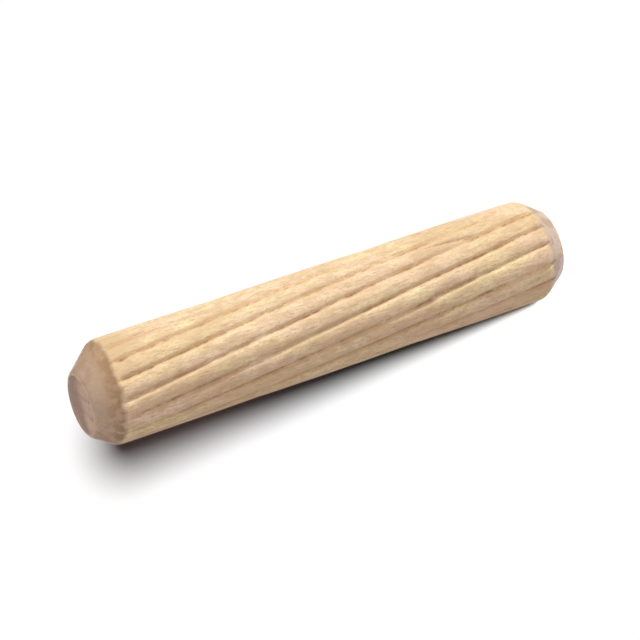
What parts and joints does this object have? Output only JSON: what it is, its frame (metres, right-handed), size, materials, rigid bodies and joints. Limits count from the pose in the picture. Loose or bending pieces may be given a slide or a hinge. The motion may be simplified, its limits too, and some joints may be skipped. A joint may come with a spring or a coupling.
{
  "type": "dowel pin",
  "caption": "Round wooden joining pin with pressed spiral flutes along its wall and a lead-in chamfer at each sawn end.",
  "frame": {"origin": "centre of the sawn end that the pin stands on", "axes": "+Z along the pin's axis, from the end it stands on to the other end; X and Y lie in the standing end, with no preferred direction"},
  "size_m": [0.008, 0.008, 0.04],
  "materials": {
    "beech": "raw, unfinished"
  },
  "bodies": {
    "root": {"dowel_pin": "beech"}
  },
  "joints": []
}
